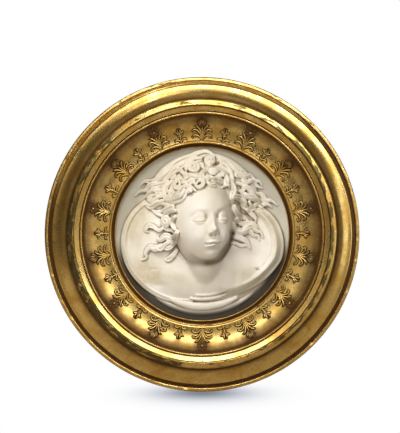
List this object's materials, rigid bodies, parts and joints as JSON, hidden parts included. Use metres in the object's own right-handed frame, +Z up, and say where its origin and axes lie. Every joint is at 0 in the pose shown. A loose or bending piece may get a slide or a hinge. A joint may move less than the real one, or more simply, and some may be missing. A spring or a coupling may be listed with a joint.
{
  "type": "framed marble cherub head relief",
  "caption": "Round high relief of a winged child's head with blown curls, carved in marble and set in a turned gilt frame with raised palmettes.",
  "frame": {"origin": "centre of the back, in the plane of the wall", "axes": "+Z up, -Y out of the wall towards the viewer, +X to the viewer's right"},
  "size_m": [0.44, 0.0865, 0.44],
  "materials": {
    "marble": "softly polished ivory marble with dirt in its hollows",
    "gilding": "aged leaf gilding over red bole, burnished on the bead and satin in the coves"
  },
  "bodies": {
    "root": {"marble_relief": "marble", "gilt_frame": "gilding"}
  },
  "joints": []
}
